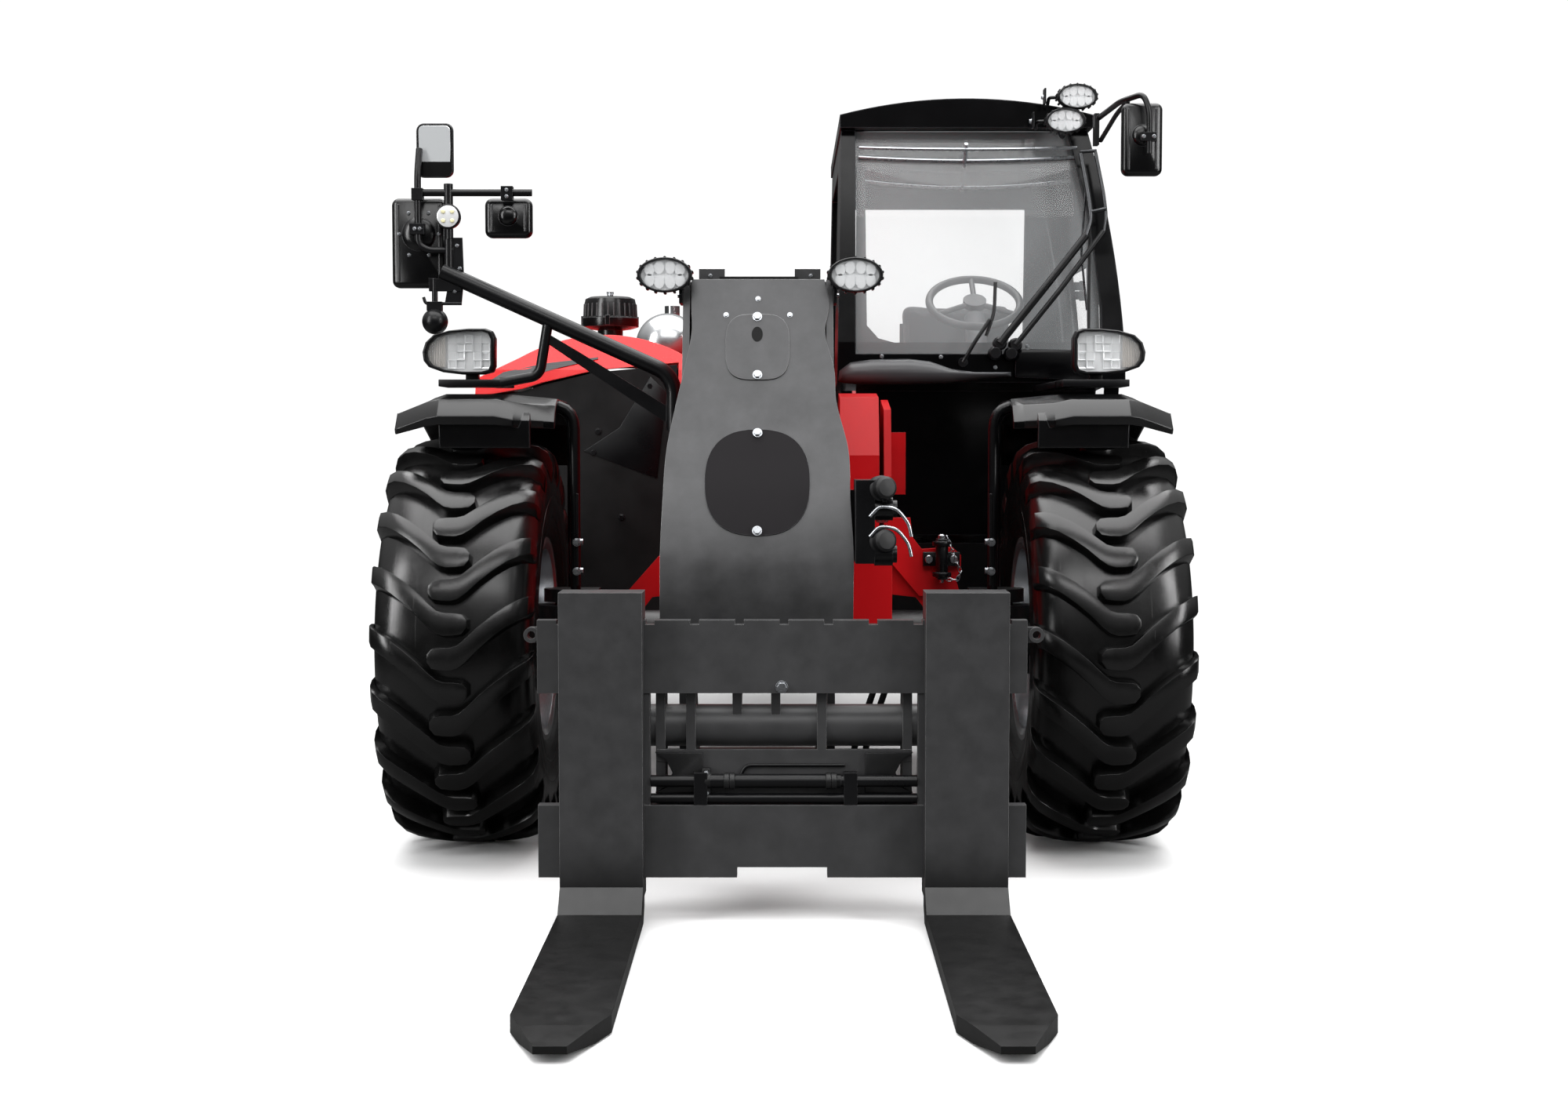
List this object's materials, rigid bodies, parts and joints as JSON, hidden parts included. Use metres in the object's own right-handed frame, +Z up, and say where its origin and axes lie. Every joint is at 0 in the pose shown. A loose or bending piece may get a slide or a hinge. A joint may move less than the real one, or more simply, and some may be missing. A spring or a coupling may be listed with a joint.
{
  "type": "telehandler",
  "caption": "Farm telehandler with side cab, telescopic boom, fork carriage and steered wheels; boom, tilt, doors, forks, steering and wheels move.",
  "frame": {"origin": "on the ground under the middle of the machine's length and width", "axes": "+Z up, +Y towards the rear, the forks point along -Y, the cab is on the +X side"},
  "size_m": [2.48, 6.24, 2.5218],
  "materials": {
    "frame_red": "gloss red chassis paint",
    "hood_red": "gloss red panel paint",
    "boom_grey": "satin dark grey paint",
    "carriage_grey": "satin dark grey paint",
    "fork_steel": "black paint worn to steel at the edges",
    "black_steel": "satin black paint",
    "cast_weight": "black painted casting",
    "cab_black": "gloss black paint",
    "trim_plastic": "grained black plastic",
    "console_plastic": "grey moulded plastic",
    "tank_plastic": "black rotomoulded plastic",
    "seat_shell": "black plastic",
    "seat_cloth": "woven cloth",
    "cab_glass": "tinted safety glass",
    "lamp": "clear lens in a black housing",
    "tail_lamp": "red lens",
    "rim_silver": "silver paint",
    "tyre_rubber": "black rubber",
    "chrome_rod": "hard chrome",
    "coupling_steel": "zinc plated steel",
    "hose_rubber": "black rubber hose",
    "engine_iron": "grey cast iron",
    "silencer_steel": "aluminised steel"
  },
  "bodies": {
    "chassis": {"main_frame": "frame_red", "rear_counterweight": "cast_weight", "rear_tow_hitch": "black_steel", "fuel_tank": "tank_plastic", "front_axle": "black_steel", "rear_axle": "black_steel", "cab_frame": "cab_black", "cab_roof": "cab_black", "cab_glass": "cab_glass", "operator_seat": "seat_shell", "seat_cushions": "seat_cloth", "dashboard": "console_plastic", "steering_wheel": "console_plastic", "cab_work_lights": "lamp", "mirrors": "trim_plastic", "engine_bay": "trim_plastic", "engine_block": "engine_iron", "exhaust_silencer": "silencer_steel", "headlights": "lamp", "rear_lights": "tail_lamp", "right_mirror_arm": "black_steel"},
    "hood": {"engine_hood": "hood_red", "air_precleaner": "trim_plastic"},
    "door": {"cab_door": "cab_black", "door_glass": "cab_glass"},
    "boom": {"outer_boom": "boom_grey"},
    "telescope": {"inner_boom": "boom_grey", "boom_head": "boom_grey", "head_cover": "boom_grey", "boom_work_lights": "lamp", "hydraulic_couplers": "coupling_steel", "tilt_cylinder_barrel": "black_steel"},
    "tilt_rod": {"tilt_cylinder_rod": "chrome_rod"},
    "carriage": {"carriage_frame": "carriage_grey", "fork_positioner": "chrome_rod", "carriage_hoses": "hose_rubber"},
    "fork_left": {"left_fork": "fork_steel"},
    "fork_right": {"right_fork": "fork_steel"},
    "lift_barrel": {"lift_cylinder_barrel": "black_steel"},
    "lift_rod": {"lift_cylinder_rod": "chrome_rod"},
    "front_steering": {"front_steering_rod": "chrome_rod"},
    "rear_steering": {"rear_steering_rod": "chrome_rod"},
    "steer_front_left": {"front_left_knuckle": "black_steel", "front_left_fender": "trim_plastic"},
    "wheel_front_left": {"front_left_wheel": "rim_silver", "front_left_tyre": "tyre_rubber"},
    "steer_front_right": {"front_right_knuckle": "black_steel", "front_right_fender": "trim_plastic"},
    "wheel_front_right": {"front_right_wheel": "rim_silver", "front_right_tyre": "tyre_rubber"},
    "steer_rear_left": {"rear_left_knuckle": "black_steel", "rear_left_fender": "trim_plastic"},
    "wheel_rear_left": {"rear_left_wheel": "rim_silver", "rear_left_tyre": "tyre_rubber"},
    "steer_rear_right": {"rear_right_knuckle": "black_steel", "rear_right_fender": "trim_plastic"},
    "wheel_rear_right": {"rear_right_wheel": "rim_silver", "rear_right_tyre": "tyre_rubber"}
  },
  "joints": [
    {"name": "boom_lift", "type": "hinge", "parent": "chassis", "child": "boom", "pos_m": [-0.075, 2.27, 1.7], "axis": [-1, 0, 0], "range_deg": [0, 60]},
    {"name": "boom_extend", "type": "slide", "parent": "boom", "child": "telescope", "axis": [0, -0.9989, -0.0471], "range_m": [0, 2.3]},
    {"name": "carriage_tilt", "type": "hinge", "parent": "telescope", "child": "carriage", "pos_m": [-0.075, -1.59, 0.4], "axis": [1, 0, 0], "range_deg": [-12, 110]},
    {"name": "tilt_rod_slide", "type": "slide", "parent": "telescope", "child": "tilt_rod", "axis": [0, -0.4987, -0.8668], "range_m": [-0.06, 0.48]},
    {"name": "lift_barrel_swing", "type": "hinge", "parent": "chassis", "child": "lift_barrel", "pos_m": [-0.075, 1.77, 0.6], "axis": [-1, 0, 0], "range_deg": [0, 46]},
    {"name": "lift_rod_slide", "type": "slide", "parent": "lift_barrel", "child": "lift_rod", "axis": [0, -0.8437, 0.5369], "range_m": [0, 1.08]},
    {"name": "left_fork_slide", "type": "slide", "parent": "carriage", "child": "fork_left", "axis": [1, 0, 0], "range_m": [-0.2, 0.05]},
    {"name": "right_fork_slide", "type": "slide", "parent": "carriage", "child": "fork_right", "axis": [-1, 0, 0], "range_m": [-0.2, 0.05]},
    {"name": "hood_lift", "type": "hinge", "parent": "chassis", "child": "hood", "pos_m": [-0.75, 1.37, 1.69], "axis": [-1, 0, 0], "range_deg": [0, 50]},
    {"name": "door_swing", "type": "hinge", "parent": "chassis", "child": "door", "pos_m": [1.2, 0.882, 1.6], "axis": [0, 0, 1], "range_deg": [0, 85]},
    {"name": "front_left_steer", "type": "hinge", "parent": "chassis", "child": "steer_front_left", "pos_m": [0.72, -0.73, 0.655], "axis": [0, 0, 1], "range_deg": [-35, 35]},
    {"name": "front_right_steer", "type": "hinge", "parent": "chassis", "child": "steer_front_right", "pos_m": [-0.72, -0.73, 0.655], "axis": [0, 0, 1], "range_deg": [-35, 35]},
    {"name": "rear_left_steer", "type": "hinge", "parent": "chassis", "child": "steer_rear_left", "pos_m": [0.72, 2.12, 0.655], "axis": [0, 0, 1], "range_deg": [-35, 35]},
    {"name": "rear_right_steer", "type": "hinge", "parent": "chassis", "child": "steer_rear_right", "pos_m": [-0.72, 2.12, 0.655], "axis": [0, 0, 1], "range_deg": [-35, 35]},
    {"name": "front_left_roll", "type": "hinge", "parent": "steer_front_left", "child": "wheel_front_left", "pos_m": [0.99, -0.73, 0.655], "axis": [1, 0, 0], "continuous": true},
    {"name": "front_right_roll", "type": "hinge", "parent": "steer_front_right", "child": "wheel_front_right", "pos_m": [-0.99, -0.73, 0.655], "axis": [1, 0, 0], "continuous": true},
    {"name": "rear_left_roll", "type": "hinge", "parent": "steer_rear_left", "child": "wheel_rear_left", "pos_m": [0.99, 2.12, 0.655], "axis": [1, 0, 0], "continuous": true},
    {"name": "rear_right_roll", "type": "hinge", "parent": "steer_rear_right", "child": "wheel_rear_right", "pos_m": [-0.99, 2.12, 0.655], "axis": [1, 0, 0], "continuous": true},
    {"name": "front_steering_slide", "type": "slide", "parent": "chassis", "child": "front_steering", "axis": [-1, 0, 0], "range_m": [-0.1, 0.1]},
    {"name": "rear_steering_slide", "type": "slide", "parent": "chassis", "child": "rear_steering", "axis": [-1, 0, 0], "range_m": [-0.1, 0.1]}
  ],
  "couplings": [
    {"joint": "tilt_rod_slide", "follows": "carriage_tilt", "m_per_rad": 0.248},
    {"joint": "lift_barrel_swing", "follows": "boom_lift", "ratio": 0.7},
    {"joint": "lift_rod_slide", "follows": "boom_lift", "m_per_rad": 1.025},
    {"joint": "right_fork_slide", "follows": "left_fork_slide", "ratio": 1},
    {"joint": "front_right_steer", "follows": "front_left_steer", "ratio": 1},
    {"joint": "rear_left_steer", "follows": "front_left_steer", "ratio": -1},
    {"joint": "rear_right_steer", "follows": "front_left_steer", "ratio": -1},
    {"joint": "front_steering_slide", "follows": "front_left_steer", "m_per_rad": 0.1596},
    {"joint": "rear_steering_slide", "follows": "front_left_steer", "m_per_rad": 0.1596}
  ]
}
